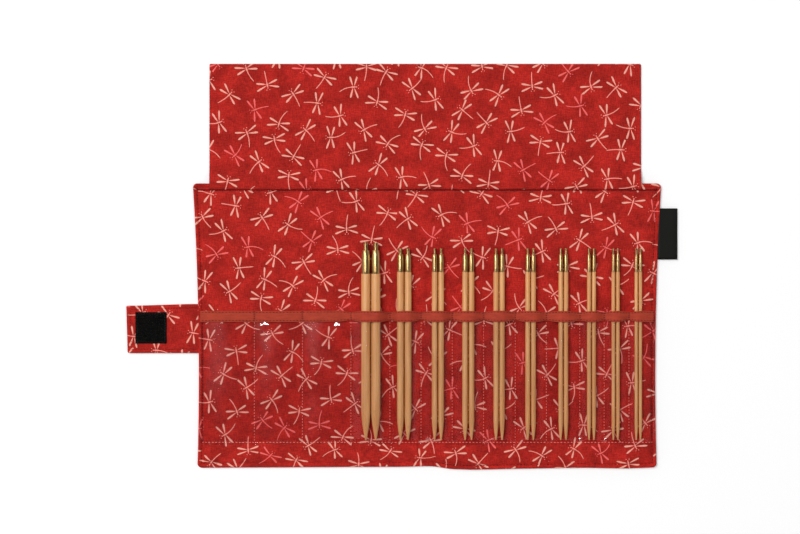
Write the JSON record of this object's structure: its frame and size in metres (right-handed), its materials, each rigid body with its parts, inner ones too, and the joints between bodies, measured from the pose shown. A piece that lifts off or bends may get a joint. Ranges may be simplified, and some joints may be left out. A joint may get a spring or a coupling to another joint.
{
  "type": "knitting needle set",
  "caption": "Folding padded cotton needle case, laid open, with clear pockets, top flap and closure tab, holding pairs of screw-on bamboo needle tips.",
  "frame": {"origin": "on the back face, at the centre fold, half way up the panel", "axes": "+X to the border with the label, +Y to the flap, +Z out of the inner side with the pockets"},
  "size_m": [0.3581, 0.2639, 0.0104],
  "materials": {
    "printed_cotton": "plain weave cotton, small scattered print",
    "batting": "soft non-woven padding",
    "clear_vinyl": "clear, glossy",
    "binding_tape": "twill tape",
    "hook_tape": "fine nylon hooks",
    "loop_tape": "brushed nylon loops",
    "black_satin": "woven satin",
    "bamboo": "polished, fine straight grain",
    "brass": "turned and polished"
  },
  "bodies": {
    "right_half": {"cover_right": "printed_cotton", "padding_right": "batting", "lining_right": "printed_cotton", "vinyl_right": "clear_vinyl", "tape_right": "binding_tape", "flap_seam_right": "printed_cotton", "loop_patch": "loop_tape", "woven_label": "black_satin"},
    "left_half": {"cover_left": "printed_cotton", "padding_left": "batting", "lining_left": "printed_cotton", "vinyl_left": "clear_vinyl", "tape_left": "binding_tape", "flap_seam_left": "printed_cotton"},
    "flap_right": {"flap_right": "printed_cotton"},
    "flap_left": {"flap_left": "printed_cotton"},
    "tab_neck": {"tab_neck": "printed_cotton"},
    "tab_end": {"tab_end": "printed_cotton", "hook_patch": "hook_tape"},
    "tip_01_left": {"shaft_01_left": "bamboo", "ferrule_01_left": "brass"},
    "tip_01_right": {"shaft_01_right": "bamboo", "ferrule_01_right": "brass"},
    "tip_02_left": {"shaft_02_left": "bamboo", "ferrule_02_left": "brass"},
    "tip_02_right": {"shaft_02_right": "bamboo", "ferrule_02_right": "brass"},
    "tip_03_left": {"shaft_03_left": "bamboo", "ferrule_03_left": "brass"},
    "tip_03_right": {"shaft_03_right": "bamboo", "ferrule_03_right": "brass"},
    "tip_04_left": {"shaft_04_left": "bamboo", "ferrule_04_left": "brass"},
    "tip_04_right": {"shaft_04_right": "bamboo", "ferrule_04_right": "brass"},
    "tip_05_left": {"shaft_05_left": "bamboo", "ferrule_05_left": "brass"},
    "tip_05_right": {"shaft_05_right": "bamboo", "ferrule_05_right": "brass"},
    "tip_06_left": {"shaft_06_left": "bamboo", "ferrule_06_left": "brass"},
    "tip_06_right": {"shaft_06_right": "bamboo", "ferrule_06_right": "brass"},
    "tip_07_left": {"shaft_07_left": "bamboo", "ferrule_07_left": "brass"},
    "tip_07_right": {"shaft_07_right": "bamboo", "ferrule_07_right": "brass"},
    "tip_08_left": {"shaft_08_left": "bamboo", "ferrule_08_left": "brass"},
    "tip_08_right": {"shaft_08_right": "bamboo", "ferrule_08_right": "brass"},
    "tip_09_left": {"shaft_09_left": "bamboo", "ferrule_09_left": "brass"},
    "tip_09_right": {"shaft_09_right": "bamboo", "ferrule_09_right": "brass"},
    "tip_10_left": {"shaft_10_left": "bamboo", "ferrule_10_left": "brass"},
    "tip_10_right": {"shaft_10_right": "bamboo", "ferrule_10_right": "brass"}
  },
  "joints": [
    {"name": "centre_fold", "type": "hinge", "parent": "right_half", "child": "left_half", "pos_m": [-0.00015, 0, 0.0107], "axis": [0, -1, 0], "range_deg": [-179.9, 0]},
    {"name": "flap_fold_right", "type": "hinge", "parent": "right_half", "child": "flap_right", "pos_m": [0.0695, 0.0909, 0.00525], "axis": [-1, 0, 0], "range_deg": [-179.9, 0]},
    {"name": "flap_fold_left", "type": "hinge", "parent": "left_half", "child": "flap_left", "pos_m": [-0.0707, 0.0909, 0.00525], "axis": [-1, 0, 0], "range_deg": [-179.9, 0]},
    {"name": "tab_bend", "type": "hinge", "parent": "left_half", "child": "tab_neck", "pos_m": [-0.14895, -0.00115, 0.00278], "axis": [0, -1, 0], "range_deg": [-90, 0]},
    {"name": "tab_wrap", "type": "hinge", "parent": "tab_neck", "child": "tab_end", "pos_m": [-0.1682, -0.00115, 0.00278], "axis": [0, -1, 0], "range_deg": [-90, 0]},
    {"name": "slide_01_left", "type": "slide", "parent": "left_half", "child": "tip_01_left", "axis": [0, 1, 0], "range_m": [0, 0.085]},
    {"name": "slide_01_right", "type": "slide", "parent": "left_half", "child": "tip_01_right", "axis": [0, 1, 0], "range_m": [0, 0.085]},
    {"name": "slide_02_left", "type": "slide", "parent": "left_half", "child": "tip_02_left", "axis": [0, 1, 0], "range_m": [0, 0.085]},
    {"name": "slide_02_right", "type": "slide", "parent": "left_half", "child": "tip_02_right", "axis": [0, 1, 0], "range_m": [0, 0.085]},
    {"name": "slide_03_left", "type": "slide", "parent": "right_half", "child": "tip_03_left", "axis": [0, 1, 0], "range_m": [0, 0.085]},
    {"name": "slide_03_right", "type": "slide", "parent": "right_half", "child": "tip_03_right", "axis": [0, 1, 0], "range_m": [0, 0.085]},
    {"name": "slide_04_left", "type": "slide", "parent": "right_half", "child": "tip_04_left", "axis": [0, 1, 0], "range_m": [0, 0.085]},
    {"name": "slide_04_right", "type": "slide", "parent": "right_half", "child": "tip_04_right", "axis": [0, 1, 0], "range_m": [0, 0.085]},
    {"name": "slide_05_left", "type": "slide", "parent": "right_half", "child": "tip_05_left", "axis": [0, 1, 0], "range_m": [0, 0.085]},
    {"name": "slide_05_right", "type": "slide", "parent": "right_half", "child": "tip_05_right", "axis": [0, 1, 0], "range_m": [0, 0.085]},
    {"name": "slide_06_left", "type": "slide", "parent": "right_half", "child": "tip_06_left", "axis": [0, 1, 0], "range_m": [0, 0.085]},
    {"name": "slide_06_right", "type": "slide", "parent": "right_half", "child": "tip_06_right", "axis": [0, 1, 0], "range_m": [0, 0.085]},
    {"name": "slide_07_left", "type": "slide", "parent": "right_half", "child": "tip_07_left", "axis": [0, 1, 0], "range_m": [0, 0.085]},
    {"name": "slide_07_right", "type": "slide", "parent": "right_half", "child": "tip_07_right", "axis": [0, 1, 0], "range_m": [0, 0.085]},
    {"name": "slide_08_left", "type": "slide", "parent": "right_half", "child": "tip_08_left", "axis": [0, 1, 0], "range_m": [0, 0.085]},
    {"name": "slide_08_right", "type": "slide", "parent": "right_half", "child": "tip_08_right", "axis": [0, 1, 0], "range_m": [0, 0.085]},
    {"name": "slide_09_left", "type": "slide", "parent": "right_half", "child": "tip_09_left", "axis": [0, 1, 0], "range_m": [0, 0.085]},
    {"name": "slide_09_right", "type": "slide", "parent": "right_half", "child": "tip_09_right", "axis": [0, 1, 0], "range_m": [0, 0.085]},
    {"name": "slide_10_left", "type": "slide", "parent": "right_half", "child": "tip_10_left", "axis": [0, 1, 0], "range_m": [0, 0.085]},
    {"name": "slide_10_right", "type": "slide", "parent": "right_half", "child": "tip_10_right", "axis": [0, 1, 0], "range_m": [0, 0.085]}
  ],
  "couplings": [
    {"joint": "flap_fold_left", "follows": "flap_fold_right", "ratio": 1}
  ]
}
